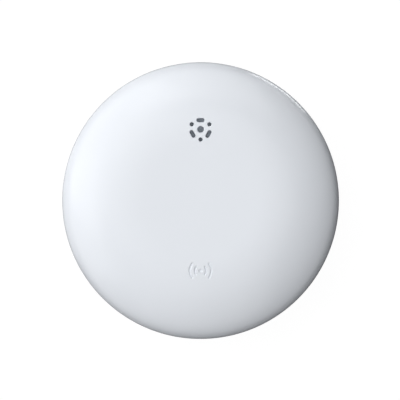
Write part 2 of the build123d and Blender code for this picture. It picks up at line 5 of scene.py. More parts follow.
import bpy
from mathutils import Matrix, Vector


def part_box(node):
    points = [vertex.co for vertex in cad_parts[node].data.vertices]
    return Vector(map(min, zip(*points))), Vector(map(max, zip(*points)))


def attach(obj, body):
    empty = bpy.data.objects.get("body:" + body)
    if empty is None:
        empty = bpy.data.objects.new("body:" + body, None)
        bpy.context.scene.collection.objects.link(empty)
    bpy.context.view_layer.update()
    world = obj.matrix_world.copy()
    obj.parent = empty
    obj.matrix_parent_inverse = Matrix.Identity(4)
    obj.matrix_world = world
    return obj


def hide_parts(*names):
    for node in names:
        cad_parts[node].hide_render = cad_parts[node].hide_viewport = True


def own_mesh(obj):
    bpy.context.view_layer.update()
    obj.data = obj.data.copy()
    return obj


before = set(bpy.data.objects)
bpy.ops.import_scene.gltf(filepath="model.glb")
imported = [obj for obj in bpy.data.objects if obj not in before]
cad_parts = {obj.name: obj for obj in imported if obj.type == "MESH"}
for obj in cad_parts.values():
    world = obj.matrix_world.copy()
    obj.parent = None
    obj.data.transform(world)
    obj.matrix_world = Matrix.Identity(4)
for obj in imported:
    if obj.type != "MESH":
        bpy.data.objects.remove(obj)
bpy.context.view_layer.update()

# Rear housing
# The bowl that carries everything else: one ABS moulding with the battery well, three screw posts, the
# board's key and the ledges that hold the door. It is polished outside, and lies on a flat ring round that.

MM = 0.001
equator_height = 4.3
body_radius = 19.0
inner_radius = 17.8
base_radius = 13.55
seam_round = 0.1
curve_steps = 60


def to_linear(hex_code):
    """Turns an sRGB hex value into the linear colour that a socket takes."""
    parts = [int(hex_code[place : place + 2], 16) / 255 for place in (1, 3, 5)]
    return [part / 12.92 if part <= 0.04045 else ((part + 0.055) / 1.055) ** 2.4 for part in parts] + [1]


def add_node(tree, kind, inputs=None, **settings):
    """Adds a node, sets its properties, and fills its sockets with values or with links."""
    made = tree.nodes.new(kind)
    for name, value in settings.items():
        setattr(made, name, value)
    for socket, value in (inputs or {}).items():
        if isinstance(value, bpy.types.NodeSocket):
            tree.links.new(value, made.inputs[socket])
        else:
            made.inputs[socket].default_value = value
    return made


def blend(tree, share, first, second):
    """Mixes two colours, each a hex value or a socket, by a share, and returns the mixed colour."""
    tones = [to_linear(tone) if isinstance(tone, str) else tone for tone in (first, second)]
    mixed = add_node(tree, "ShaderNodeMix", {0: share, 6: tones[0], 7: tones[1]}, data_type="RGBA")
    return mixed.outputs[2]


def new_material(name):
    """Starts a material: returns it, its tree, its shader's sockets and the place on the piece."""
    made = bpy.data.materials.new(name)
    made.use_nodes = True
    tree = made.node_tree
    place = add_node(tree, "ShaderNodeTexCoord").outputs["Object"]
    return made, tree, tree.nodes["Principled BSDF"].inputs, place


def moulded(name, tone, other_tone, roughness, grain, depth):
    """A moulded plastic: its tone drifts slowly, and the mould's fine grain carries its gloss and relief."""
    made, tree, shader, place = new_material(name)
    drift = add_node(tree, "ShaderNodeTexNoise", {"Vector": place, "Scale": 1 / (6 * MM), "Detail": 2})
    tree.links.new(blend(tree, drift.outputs["Fac"], tone, other_tone), shader["Base Color"])
    mould = add_node(tree, "ShaderNodeTexNoise", {"Vector": place, "Scale": 1 / (grain * MM), "Detail": 3})
    limits = {"Value": mould.outputs["Fac"], "To Min": roughness * 0.85, "To Max": roughness * 1.15}
    gloss = add_node(tree, "ShaderNodeMapRange", limits)
    tree.links.new(gloss.outputs[0], shader["Roughness"])
    relief = add_node(tree, "ShaderNodeBump", {"Height": mould.outputs["Fac"], "Distance": depth * MM})
    tree.links.new(relief.outputs[0], shader["Normal"])
    shader["IOR"].default_value = 1.5
    return made


def work_on(piece):
    """Makes a piece the only one selected, and the active one."""
    bpy.ops.object.select_all(action="DESELECT")
    bpy.context.view_layer.objects.active = piece
    piece.select_set(True)


def turned(name, outline, steps=256, centre=(0, 0)):
    """Draws (radius, height) points as a chain of extruded edges and spins it round an upright axis."""
    bpy.ops.object.select_all(action="DESELECT")
    bpy.ops.mesh.primitive_plane_add(size=MM)
    piece = bpy.context.object
    piece.name = name
    bpy.ops.object.mode_set(mode="EDIT")
    bpy.ops.mesh.merge(type="CENTER")
    axis = (centre[0] * MM, centre[1] * MM, 0)
    bpy.ops.transform.translate(value=(axis[0] + outline[0][0] * MM, axis[1], outline[0][1] * MM))
    for (radius, height), (next_radius, next_height) in zip(outline, outline[1:]):
        step = ((next_radius - radius) * MM, 0, (next_height - height) * MM)
        bpy.ops.mesh.extrude_vertices_move(TRANSFORM_OT_translate={"value": step})
    bpy.ops.mesh.select_all(action="SELECT")
    bpy.ops.mesh.remove_doubles(threshold=0.0005 * MM)
    bpy.ops.mesh.spin(steps=steps, angle=2 * pi, center=axis, axis=(0, 0, 1))
    bpy.ops.mesh.select_all(action="SELECT")
    bpy.ops.mesh.remove_doubles(threshold=0.0005 * MM)
    bpy.ops.mesh.normals_make_consistent(inside=False)
    bpy.ops.object.mode_set(mode="OBJECT")
    return piece


def block(name, size, centre):
    """A rectangular lump, drawn from a cube at its size and place with its upright edges broken."""
    bpy.ops.object.select_all(action="DESELECT")
    bpy.ops.mesh.primitive_cube_add(
        size=1, scale=[side * MM for side in size], location=[at * MM for at in centre]
    )
    piece = bpy.context.object
    piece.name = name
    bpy.ops.object.transform_apply(location=True, rotation=True, scale=True)
    bpy.ops.object.mode_set(mode="EDIT")
    bpy.ops.mesh.select_all(action="DESELECT")
    bpy.ops.object.mode_set(mode="OBJECT")
    for edge in piece.data.edges:
        ends = [piece.data.vertices[number].co for number in edge.vertices]
        edge.select = abs(ends[0].z - ends[1].z) > 0.5 * size[2] * MM
    bpy.ops.object.mode_set(mode="EDIT")
    bpy.ops.mesh.bevel(offset=0.08 * MM, segments=2)
    bpy.ops.object.mode_set(mode="OBJECT")
    return piece


def slice_of(ring, middle, span):
    """Cuts a turned ring down to a slice of it, with closed ends."""
    work_on(ring)
    bpy.ops.object.mode_set(mode="EDIT")
    for side in (-1, 1):
        turn = radians(middle + side * span / 2)
        outward = (-side * sin(turn), side * cos(turn), 0)
        bpy.ops.mesh.select_all(action="SELECT")
        bpy.ops.mesh.bisect(plane_co=(0, 0, 0), plane_no=outward, use_fill=True, clear_outer=True)
    bpy.ops.object.mode_set(mode="OBJECT")
    return ring


def repeat_round(piece, count, centre=(0, 0)):
    """Copies all of a piece's mesh round an upright axis."""
    work_on(piece)
    bpy.ops.object.mode_set(mode="EDIT")
    bpy.ops.mesh.select_all(action="SELECT")
    for _ in range(count - 1):
        bpy.ops.mesh.duplicate()
        middle = (centre[0] * MM, centre[1] * MM, 0)
        bpy.ops.transform.rotate(value=2 * pi / count, orient_axis="Z", center_override=middle)
    bpy.ops.object.mode_set(mode="OBJECT")
    return piece


def join(*pieces):
    """Makes one object of several."""
    work_on(pieces[0])
    for piece in pieces[1:]:
        piece.select_set(True)
    bpy.ops.object.join()
    return pieces[0]


def combine(piece, tool, operation):
    """Joins, cuts or trims a piece with a tool that is then thrown away."""
    step = piece.modifiers.new(operation, "BOOLEAN")
    step.operation = operation
    step.solver = "EXACT"
    step.object = tool
    work_on(piece)
    bpy.ops.object.modifier_apply(modifier=step.name)
    bpy.data.objects.remove(tool)


def finish_piece(piece, finish, node, body):
    """Shades a piece smooth with its flats kept flat, dresses it and sets it in the frame."""
    work_on(piece)
    bpy.ops.object.shade_smooth_by_angle(angle=radians(35))
    flats = piece.modifiers.new("flats", "WEIGHTED_NORMAL")
    flats.keep_sharp = True
    bpy.ops.object.modifier_apply(modifier=flats.name)
    piece.data.materials.clear()
    piece.data.materials.append(finish)
    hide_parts(node)
    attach(piece, body)


def dress(finish, *names):
    """Gives CAD nodes that are kept as they are their finish."""
    for name in names:
        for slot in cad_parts[name].material_slots:
            slot.material = finish


def shoulder(flat_radius, flat_height, rim_radius, rim_gap=0.0):
    """Points of a rounded shoulder: level at the flat, upright at the equator, which it stops short of."""
    run, rise = rim_radius - flat_radius, flat_height - equator_height
    last_turn = acos(rim_gap / abs(rise))
    turns = [last_turn * number / curve_steps for number in range(curve_steps + 1)]
    return [(flat_radius + run * sin(turn), equator_height + rise * cos(turn)) for turn in turns]


door_edge = [(12.6, 0), (12.49, 0.04), (12.45, 0.15), (12.45, 1.45)]
well = [(11.55, 1.45), (11.55, 4.9), (12.45, 4.9), (12.45, 2.4), (13.35, 2.4), (13.35, 1.2)]
inner_bowl = shoulder(base_radius, 1.2, inner_radius, 0.7)
rebate = [(18.4, 3.6), (18.4, 4.3), (18.9, 4.3), (18.97, 4.27)]
outer_bowl = shoulder(base_radius, 0, body_radius, seam_round)[::-1]
housing_outline = door_edge + well + inner_bowl + rebate + outer_bowl + door_edge[:1]
housing = turned("housing_moulding", housing_outline)

ledge = turned("ledge", [(10.75, 1.46), (11.9, 1.46), (11.9, 2.15), (10.75, 2.15), (10.75, 1.46)])
lug_count = 3
first_lug_turn = 90
ledge_span = 30
ledges = repeat_round(slice_of(ledge, first_lug_turn, ledge_span), lug_count)
rib = block("rib", (0.8, 1.88, 1.2), (0, 11.06, 3.65))
rib_count = 6
ribs = repeat_round(rib, rib_count)
post_place = (0, -14.35)
post_count = 3
post = turned("post", [(0, 0.9), (1.25, 0.9), (1.25, 4.8), (1.15, 4.9), (0, 4.9)], 64, post_place)
posts = repeat_round(post, post_count)
key = block("key", (1.2, 1.2, 4.45), (0, 15.6, 3.175))
combine(housing, join(ledges, ribs, posts, key), "UNION")
stop = turned("stop", [(10.77, 1.48), (11.8, 1.48), (11.8, 2.95), (10.77, 2.95), (10.77, 1.48)])
first_stop_turn = 104.3
stop_span = 3.4
combine(housing, repeat_round(slice_of(stop, first_stop_turn, stop_span), lug_count), "UNION")

hole_profile = [(0, 2.3), (0.55, 2.3), (0.55, 4.85), (0.65, 4.95), (0.65, 5.2), (0, 5.2)]
screw_holes = repeat_round(turned("hole", hole_profile, 48, post_place), post_count)
dimple_circle = 13.0
unlock_turn = radians(30)
dimple_profile = [(0, 0.15), (0.12, 0.13), (0.22, 0.07), (0.28, 0), (0.32, -0.05), (0.32, -0.2), (0, -0.2)]
closed_dimple = turned("dimple", dimple_profile, 32, (0, -dimple_circle))
open_place = (-dimple_circle * sin(unlock_turn), -dimple_circle * cos(unlock_turn))
open_dimple = turned("dimple", dimple_profile, 32, open_place)
combine(housing, join(screw_holes, closed_dimple, open_dimple), "DIFFERENCE")

# Polished ABS: a cold white with a soft gloss, and the faint waviness that shrinking leaves in a moulding.
white_abs = moulded("polished white ABS", "#E8ECF2", "#E6EAF0", 0.22, 1.6, 0.0006)
finish_piece(housing, white_abs, "rear_housing", "housing")

# Main board
# A round 0.8 mm glass-epoxy board under a dark green solder mask, screwed to the posts. Copper tracks show
# through the mask as a paler green relief, the vias show as small tinned dots, and the sawn edge is bare.

board_finish, tree, shader, place = new_material("green solder mask on glass epoxy")
grid = {"Vector": place, "Scale": 1 / (2.2 * MM)}
cells = add_node(tree, "ShaderNodeTexVoronoi", grid, distance="CHEBYCHEV", feature="F1")
comb = add_node(tree, "ShaderNodeMath", {0: cells.outputs["Distance"], 1: 0.19}, operation="PINGPONG")
track = add_node(tree, "ShaderNodeMath", {0: comb.outputs[0], 1: 0.1}, operation="GREATER_THAN")
mask_colour = blend(tree, track.outputs[0], "#0E3A25", "#1C5A3A")
drills = add_node(tree, "ShaderNodeTexVoronoi", {"Vector": place, "Scale": 1 / (1.9 * MM)}, feature="F1")
via = add_node(tree, "ShaderNodeMath", {0: drills.outputs["Distance"], 1: 0.11}, operation="LESS_THAN")
normal = add_node(tree, "ShaderNodeNewGeometry").outputs["Normal"]
facing = add_node(tree, "ShaderNodeSeparateXYZ", {0: normal})
level = add_node(tree, "ShaderNodeMath", {0: facing.outputs["Z"]}, operation="ABSOLUTE")
edge = add_node(tree, "ShaderNodeMath", {0: level.outputs[0], 1: 0.5}, operation="LESS_THAN")
tinned = blend(tree, via.outputs[0], mask_colour, "#C9C7C0")
tree.links.new(blend(tree, edge.outputs[0], tinned, "#9A9A62"), shader["Base Color"])
tree.links.new(via.outputs[0], shader["Metallic"])
matt = add_node(tree, "ShaderNodeMapRange", {"Value": edge.outputs[0], "To Min": 0.35, "To Max": 0.8})
tree.links.new(matt.outputs[0], shader["Roughness"])
relief = add_node(tree, "ShaderNodeBump", {"Height": track.outputs[0], "Distance": 0.03 * MM})
tree.links.new(relief.outputs[0], shader["Normal"])
dress(board_finish, "main_board")

# Chips on the board
# The radio chip and the motion sensor: black moulding compound, filled with silica, so matt with a faint
# sparkle. The radio chip's solder pads stand out round its foot, tinned.

chip_finish, tree, shader, place = new_material("black moulding compound with tinned pads")
filler = add_node(tree, "ShaderNodeTexNoise", {"Vector": place, "Scale": 1 / (0.12 * MM), "Detail": 4})
compound = blend(tree, filler.outputs["Fac"], "#1B1B1D", "#303033")
radio_place = (-5.2 * MM, -0.6 * MM, 0)
pads_inner, pads_outer = 3.005, 3.3
from_middle = add_node(tree, "ShaderNodeVectorMath", {0: place, 1: radio_place}, operation="SUBTRACT")
across = add_node(tree, "ShaderNodeVectorMath", {0: from_middle.outputs[0]}, operation="ABSOLUTE")
sides = add_node(tree, "ShaderNodeSeparateXYZ", {0: across.outputs[0]})
reaches = {0: sides.outputs["X"], 1: sides.outputs["Y"]}
furthest = add_node(tree, "ShaderNodeMath", reaches, operation="MAXIMUM").outputs[0]
outside = add_node(tree, "ShaderNodeMath", {0: furthest, 1: pads_inner * MM}, operation="GREATER_THAN")
near = add_node(tree, "ShaderNodeMath", {0: furthest, 1: pads_outer * MM}, operation="LESS_THAN")
pad = add_node(tree, "ShaderNodeMath", {0: outside.outputs[0], 1: near.outputs[0]}, operation="MULTIPLY")
tree.links.new(blend(tree, pad.outputs[0], compound, "#C8C8C6"), shader["Base Color"])
tree.links.new(pad.outputs[0], shader["Metallic"])
shader["Roughness"].default_value = 0.55
relief = add_node(tree, "ShaderNodeBump", {"Height": filler.outputs["Fac"], "Distance": 0.01 * MM})
tree.links.new(relief.outputs[0], shader["Normal"])
dress(chip_finish, "radio_chip", "motion_sensor")

# Crystals
# The radio's and the clock's crystals, beside the radio chip. Each has a plated steel lid that is seam-welded
# on a brown ceramic foot.


def two_part(name, body, ends, measure, limit, body_rough, ends_rough):
    """A part of two stuffs: past the limit of a measured place it has its metal ends, before it its body."""
    made, tree, shader, place = new_material(name)
    where = measure(tree, place)
    metal = add_node(tree, "ShaderNodeMath", {0: where, 1: limit * MM}, operation="GREATER_THAN")
    speckle = add_node(tree, "ShaderNodeTexNoise", {"Vector": place, "Scale": 1 / (0.15 * MM), "Detail": 3})
    fired = blend(tree, speckle.outputs["Fac"], *body)
    tree.links.new(blend(tree, metal.outputs[0], fired, ends), shader["Base Color"])
    tree.links.new(metal.outputs[0], shader["Metallic"])
    gloss = add_node(
        tree, "ShaderNodeMapRange", {"Value": metal.outputs[0], "To Min": body_rough, "To Max": ends_rough}
    )
    tree.links.new(gloss.outputs[0], shader["Roughness"])
    relief = add_node(tree, "ShaderNodeBump", {"Height": speckle.outputs["Fac"], "Distance": 0.004 * MM})
    tree.links.new(relief.outputs[0], shader["Normal"])
    return made


def height_of(tree, place):
    """How high a point is."""
    return add_node(tree, "ShaderNodeSeparateXYZ", {0: place}).outputs["Z"]


lid_foot = 6.0
crystal_finish = two_part(
    "plated lid on a ceramic foot", ("#4A3B2E", "#5A4838"), "#C4C1BA", height_of, lid_foot, 0.6, 0.32
)
dress(crystal_finish, "main_crystal", "clock_crystal")

# Antenna, capacitors and resistors
# Fired ceramic blocks with tinned ends, soldered flat on the board: a white antenna, a large tan capacitor,
# and sixteen small parts in two groups.


def along_from(middle):
    """Measures how far a point is from a part's middle, along the board's Y axis."""

    def measure(tree, place):
        spot = add_node(tree, "ShaderNodeSeparateXYZ", {0: place}).outputs["Y"]
        offset = add_node(tree, "ShaderNodeMath", {0: spot, 1: middle * MM}, operation="SUBTRACT")
        return add_node(tree, "ShaderNodeMath", {0: offset.outputs[0]}, operation="ABSOLUTE").outputs[0]

    return measure


def along_rows(tree, place):
    """Measures how far a point is from the middle of its own small part; the left group is half a row off."""
    half_row = 0.8 * MM
    spot = add_node(tree, "ShaderNodeSeparateXYZ", {0: place})
    left = add_node(tree, "ShaderNodeMath", {0: spot.outputs["X"], 1: 0.0}, operation="LESS_THAN")
    offset = {0: left.outputs[0], 1: half_row, 2: spot.outputs["Y"]}
    shift = add_node(tree, "ShaderNodeMath", offset, operation="MULTIPLY_ADD").outputs[0]
    return add_node(tree, "ShaderNodeMath", {0: shift, 1: half_row}, operation="PINGPONG").outputs[0]


antenna_low, antenna_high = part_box("chip_antenna")
antenna_middle = (antenna_low.y + antenna_high.y) / 2 / MM
antenna_body = 2.35
antenna_reach = along_from(antenna_middle)
tin = "#C9C9C7"
antenna_finish = two_part(
    "white ceramic with tinned ends", ("#D8D7D0", "#E4E3DD"), tin, antenna_reach, antenna_body, 0.45, 0.3
)
dress(antenna_finish, "chip_antenna")
capacitor_middle, capacitor_body = -2.2, 1.5
capacitor_reach = along_from(capacitor_middle)
capacitor_finish = two_part(
    "tan ceramic with tinned ends", ("#9A7A58", "#A98866"), tin, capacitor_reach, capacitor_body, 0.45, 0.3
)
dress(capacitor_finish, "buffer_capacitor")
small_body = 0.25
small_finish = two_part(
    "tan ceramic in rows with tinned ends", ("#8E7050", "#A08060"), tin, along_rows, small_body, 0.5, 0.3
)
dress(small_finish, "small_passives")

# Push switch
# The switch that a press on the cover works: a black moulded base, a pressed steel frame, four leads, a snap
# dome and a white plunger. Its steel has the streaks of rolled sheet.


def rolled_metal(name, tone, other_tone, roughness, streak, stretch=(0.08, 1, 1)):
    """A sheet metal with the fine lengthwise streaks that rolling or brushing leaves."""
    made, tree, shader, place = new_material(name)
    stretched = add_node(tree, "ShaderNodeMapping", {"Vector": place, "Scale": stretch})
    streaks = add_node(
        tree, "ShaderNodeTexNoise", {"Vector": stretched.outputs[0], "Scale": 1 / (streak * MM), "Detail": 4}
    )
    tree.links.new(blend(tree, streaks.outputs["Fac"], tone, other_tone), shader["Base Color"])
    limits = {"Value": streaks.outputs["Fac"], "To Min": roughness * 0.7, "To Max": roughness * 1.3}
    gloss = add_node(tree, "ShaderNodeMapRange", limits)
    tree.links.new(gloss.outputs[0], shader["Roughness"])
    relief = add_node(tree, "ShaderNodeBump", {"Height": streaks.outputs["Fac"], "Distance": 0.003 * MM})
    tree.links.new(relief.outputs[0], shader["Normal"])
    shader["Metallic"].default_value = 1.0
    return made


black_nylon = moulded("black glass-filled nylon", "#1E1E1F", "#29292A", 0.5, 0.2, 0.004)
white_nylon = moulded("white acetal", "#E2E2DF", "#DADAD6", 0.38, 0.4, 0.002)
spring_steel = rolled_metal("nickel-plated spring steel", "#CFCBC0", "#B8B3A7", 0.28, 0.08)
dress(black_nylon, "switch_base")
dress(white_nylon, "switch_plunger")
dress(spring_steel, "switch_frame", "switch_leads")

# The snap dome: a thin cap of spring steel, pressed to an arc, that flattens under the plunger.
dome_radius, dome_rise, dome_top, half_sheet = 1.2, 0.27, 6.2, 0.03
dome_steps = 16
arc_radius = (dome_radius**2 + dome_rise**2) / (2 * dome_rise)
half_arc = asin(dome_radius / arc_radius)
dome_turns = [half_arc * number / dome_steps for number in range(dome_steps + 1)]
dome_sides = []
for side in (1, -1):
    skin_radius = arc_radius + side * half_sheet
    arc_middle = dome_top - arc_radius
    skin = [(skin_radius * sin(turn), arc_middle + skin_radius * cos(turn)) for turn in dome_turns]
    dome_sides += skin[::side]
switch_centre = (0, -9.6)
snap_dome = turned("snap_dome", dome_sides, 96, switch_centre)
finish_piece(snap_dome, spring_steel, "switch_dome", "housing")
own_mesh(snap_dome)

# Battery contacts and board screws
# Two bowed springs press on the side of the cell and a bowed strip on its cap: plated spring sheet again. The
# screws are turned and zinc-plated, with a faint blue bloom from the passivation.

dress(spring_steel, "negative_contact", "positive_contacts")
zinc_steel = rolled_metal("zinc-plated steel", "#C2C6CC", "#A9AEB6", 0.33, 0.15, (1, 1, 1))
dress(zinc_steel, "board_screws")

# Sounder
# A piezo disc glued under a thin brass plate, which is glued on the seat of its chamber and fed by two small
# springs from the board. The disc's face is silvered, all but a narrow rim of bare ceramic.

brass = rolled_metal("rolled brass", "#CFB06A", "#B89650", 0.3, 0.1)
dress(brass, "buzzer_plate")
dress(spring_steel, "buzzer_contacts")
grille_centre = (0, 9.75)
silvered_radius = 3.0


def from_grille(tree, place):
    """How much nearer to the grille's axis a point is than the rim of the silvering."""
    middle = add_node(tree, "ShaderNodeVectorMath", {0: place, 1: (1, 1, 0)}, operation="MULTIPLY")
    axis = (grille_centre[0] * MM, grille_centre[1] * MM, 0)
    reach = add_node(tree, "ShaderNodeVectorMath", {0: middle.outputs[0], 1: axis}, operation="DISTANCE")
    margin = {0: silvered_radius * MM, 1: reach.outputs["Value"]}
    return add_node(tree, "ShaderNodeMath", margin, operation="SUBTRACT").outputs[0]


piezo = two_part("silvered piezo ceramic", ("#CFC8B6", "#C2BAA6"), "#D2D0CA", from_grille, 0.0, 0.5, 0.4)
dress(piezo, "buzzer_ceramic")

# The glue rings: cured silicone adhesive, cloudy and slightly proud here and there.
glue, tree, shader, place = new_material("cured silicone adhesive")
clouds = add_node(tree, "ShaderNodeTexNoise", {"Vector": place, "Scale": 1 / (0.9 * MM), "Detail": 3})
tree.links.new(blend(tree, clouds.outputs["Fac"], "#D9D4C4", "#C6BFAA"), shader["Base Color"])
shader["Roughness"].default_value = 0.4
shader["Subsurface Weight"].default_value = 0.2
shader["Subsurface Scale"].default_value = 0.4 * MM
lumps = add_node(tree, "ShaderNodeBump", {"Height": clouds.outputs["Fac"], "Distance": 0.03 * MM})
tree.links.new(lumps.outputs[0], shader["Normal"])
dress(glue, "buzzer_glue", "mesh_glue")

# Grille mesh
# A disc of woven polyester behind the grille, which keeps dust out and lets sound through. Its threads cross
# every 0.16 mm, over and under in turn, and the gaps between them are painted dark grey as painted shade.

mesh_cloth, tree, shader, place = new_material("woven polyester mesh")
thread_spacing = 0.16
spot = add_node(tree, "ShaderNodeSeparateXYZ", {0: place})
threads, turns = [], []
for axis in ("X", "Y"):
    pitch = {0: spot.outputs[axis], 1: thread_spacing / 2 * MM}
    ripple = add_node(tree, "ShaderNodeMath", pitch, operation="PINGPONG")
    span = {"Value": ripple.outputs[0], "From Max": thread_spacing / 2 * MM}
    threads.append(add_node(tree, "ShaderNodeMapRange", span, interpolation_type="SMOOTHSTEP").outputs[0])
    count = {0: spot.outputs[axis], 1: thread_spacing * MM}
    order = add_node(tree, "ShaderNodeMath", count, operation="DIVIDE")
    turns.append(add_node(tree, "ShaderNodeMath", {0: order.outputs[0]}, operation="FLOOR").outputs[0])
# At every other crossing it is the other thread that lies on top.
place_sum = add_node(tree, "ShaderNodeMath", {0: turns[0], 1: turns[1]}, operation="ADD")
over = add_node(tree, "ShaderNodeMath", {0: place_sum.outputs[0], 1: 1.0}, operation="PINGPONG")
upper = add_node(tree, "ShaderNodeMix", {0: over.outputs[0], 2: threads[0], 3: threads[1]})
crossing = add_node(tree, "ShaderNodeMath", {0: threads[0], 1: threads[1]}, operation="MAXIMUM")
raised = {0: upper.outputs[0], 1: 0.5, 2: crossing.outputs[0]}
weave = add_node(tree, "ShaderNodeMath", raised, operation="MULTIPLY_ADD")
gap_level = 0.35
# The gaps between the threads are painted dark grey: painted shade for the dark space behind the weave.
gap_shade = add_node(tree, "ShaderNodeMath", {0: crossing.outputs[0], 1: gap_level}, operation="LESS_THAN")
tree.links.new(blend(tree, gap_shade.outputs[0], "#CDD3DA", "#54585F"), shader["Base Color"])
shader["Roughness"].default_value = 0.6
shader["Sheen Weight"].default_value = 0.2
bulge = add_node(tree, "ShaderNodeBump", {"Height": weave.outputs[0], "Distance": 0.03 * MM})
tree.links.new(bulge.outputs[0], shader["Normal"])
dress(mesh_cloth, "grille_mesh")

# Front cover
# The cover that is gripped and pressed: one ABS moulding, level in the middle and rounded over to the rim.
# It holds the sound chamber and the press rib inside; the grille is moulded through it, and a sunk sign
# shows where to press. Its tongue is welded into the housing's rebate.

crown_radius = 8.0
crown_height = 9.2
crown_inside = 8.0
mouth = 0.06
pin_depth = 1.8
pin_lip = 0.4
mark_centre = (0, -9.6)
mark_depth = 0.13
stroke = 0.19
wave_half_turn = radians(39)
wave_cuts = 7


def lay_on_dome(tool):
    """Drops each point of a tool that was drawn on the level crown to the dome under it."""
    rise = crown_height - equator_height
    for point in tool.data.vertices:
        out = sqrt(point.co.x**2 + point.co.y**2) / MM - crown_radius
        share = min(1, max(0, out) / (body_radius - crown_radius))
        point.co.z -= rise * (1 - sqrt(1 - share**2)) * MM


def hole_pin(radius, centre):
    """A pin that cuts a round hole with a small bevel at its mouth."""
    wide = radius + 1.5 * mouth
    outline = [
        (0, crown_height - pin_depth),
        (radius, crown_height - pin_depth),
        (radius, crown_height - mouth),
        (wide, crown_height + 0.5 * mouth),
        (wide, crown_height + pin_lip),
        (0, crown_height + pin_lip),
    ]
    return turned("pin", outline, 48, centre)


def sunk_pin(radius):
    """The profile of a pin that presses a dot with a sloping wall, drawn on the level crown."""
    slope, floor, lip = 0.14, crown_height - mark_depth, crown_height + mark_depth
    return [(0, floor), (radius - slope, floor), (radius + slope, lip), (0, lip)]


def wave(radius, middle):
    """A pin drawn out to a bar with round ends, cut across, and bent round the sign's dot."""
    bar = turned("wave", sunk_pin(stroke), 32)
    half_length = radius * wave_half_turn
    for point in bar.data.vertices:
        if abs(point.co.x) > 0.001 * MM:
            point.co.x += copysign(half_length * MM, point.co.x)
    work_on(bar)
    bpy.ops.object.mode_set(mode="EDIT")
    for cut in range(-wave_cuts, wave_cuts + 1):
        bpy.ops.mesh.select_all(action="SELECT")
        place = half_length * cut / (wave_cuts + 0.5) * MM
        bpy.ops.mesh.bisect(plane_co=(place, 0, 0), plane_no=(1, 0, 0))
    bpy.ops.object.mode_set(mode="OBJECT")
    for point in bar.data.vertices:
        turn, reach = radians(middle) + point.co.x / (radius * MM), radius * MM - point.co.y
        point.co.x, point.co.y = reach * cos(turn), reach * sin(turn)
    return bar


def move_to(piece, centre):
    """Moves all of a piece's mesh to a place on the level."""
    work_on(piece)
    bpy.ops.object.mode_set(mode="EDIT")
    bpy.ops.mesh.select_all(action="SELECT")
    bpy.ops.transform.translate(value=(centre[0] * MM, centre[1] * MM, 0))
    bpy.ops.object.mode_set(mode="OBJECT")


outer_dome = shoulder(crown_radius, crown_height, body_radius, seam_round)
tongue = [(18.97, 4.33), (18.9, 4.3), (18.35, 4.3), (18.35, 3.6), (inner_radius, 3.6)]
inner_dome = shoulder(crown_radius, crown_inside, inner_radius)[::-1]
cover_outline = [(0, crown_height)] + outer_dome + tongue + inner_dome + [(0, crown_inside)]
# It is turned in finer steps than the housing, because its rim mirrors a thin bright line.
cover_steps = 512
cover = turned("cover_moulding", cover_outline, cover_steps)

chamber_outline = [(4.0, 6.75), (4.6, 6.75), (4.6, 6.45), (5.0, 6.45), (5.0, 8.08), (4.0, 8.08), (4.0, 6.75)]
chamber = turned("chamber", chamber_outline, 96, grille_centre)
press_rib = turned("rib", [(0, 7.15), (0.8, 7.15), (0.9, 7.25), (0.9, 8.6), (0, 8.6)], 48, mark_centre)
combine(cover, join(chamber, press_rib), "UNION")

# The pocket has a number of steps of its own, so that none of its edges meets a corner of the middle hole.
pocket_steps = 98
pocket_outline = [(0, 6.0), (2.3, 6.0), (2.3, 8.01), (0, 8.01)]
mesh_pocket = turned("pocket", pocket_outline, pocket_steps, grille_centre)
patch_outline = [(0.9, 7.0), (3.0, 7.0), (3.0, 8.5), (0.9, 8.5), (0.9, 7.0)]
patch_cut = turned("patch", patch_outline, 96, mark_centre)
lay_on_dome(patch_cut)
combine(cover, join(mesh_pocket, patch_cut), "DIFFERENCE")

slot_radius, slot_circle = 0.275, 1.26
dot_radius, dot_circle = 0.28, 1.39
middle_radius = 0.45
slot_pin = hole_pin(slot_radius, (0, grille_centre[1] + slot_circle))
for point in slot_pin.data.vertices:
    if abs(point.co.x) > 0.01 * MM:
        point.co.x += copysign(slot_radius * MM, point.co.x)
dot_pin = hole_pin(dot_radius, (0, grille_centre[1] - dot_circle))
ring_of_pins = repeat_round(join(slot_pin, dot_pin), 3, grille_centre)
pins = join(hole_pin(middle_radius, grille_centre), ring_of_pins)
lay_on_dome(pins)
combine(cover, pins, "DIFFERENCE")

# The sign is a dot with two waves on each side, for a thing that calls; the waves' ends are round.
sign_dot = 0.3
wave_radii = (0.78, 1.48)
waves = [wave(radius, middle) for middle in (0, 180) for radius in wave_radii]
sign = join(turned("dot", sunk_pin(sign_dot), 48), *waves)
move_to(sign, mark_centre)
lay_on_dome(sign)
combine(cover, sign, "DIFFERENCE")
finish_piece(cover, white_abs, "front_cover", "housing")

# Coin cell
# A standard cell, 20 mm across: a nickel-plated steel can crimped over a moulded grommet, and a cap that is
# spun in a lathe for its fine circular brushing.

cell_steel, tree, shader, place = new_material("circle-brushed nickel plate")
out = add_node(tree, "ShaderNodeVectorMath", {0: place, 1: (1, 1, 0)}, operation="MULTIPLY")
reach = add_node(tree, "ShaderNodeVectorMath", {0: out.outputs[0]}, operation="LENGTH")
wobble = add_node(tree, "ShaderNodeTexNoise", {"Vector": place, "Scale": 1 / (3 * MM), "Detail": 2})
wavy = {0: wobble.outputs["Fac"], 1: 0.2 * MM, 2: reach.outputs["Value"]}
circle = add_node(tree, "ShaderNodeMath", wavy, operation="MULTIPLY_ADD")
rings = {"W": circle.outputs[0], "Scale": 1 / (0.12 * MM), "Detail": 4}
brushing = add_node(tree, "ShaderNodeTexNoise", rings, noise_dimensions="1D")
tree.links.new(blend(tree, brushing.outputs["Fac"], "#BDBDBB", "#D6D5D2"), shader["Base Color"])
shader["Metallic"].default_value = 1.0
limits = {"Value": brushing.outputs["Fac"], "To Min": 0.2, "To Max": 0.38}
sheen = add_node(tree, "ShaderNodeMapRange", limits)
tree.links.new(sheen.outputs[0], shader["Roughness"])
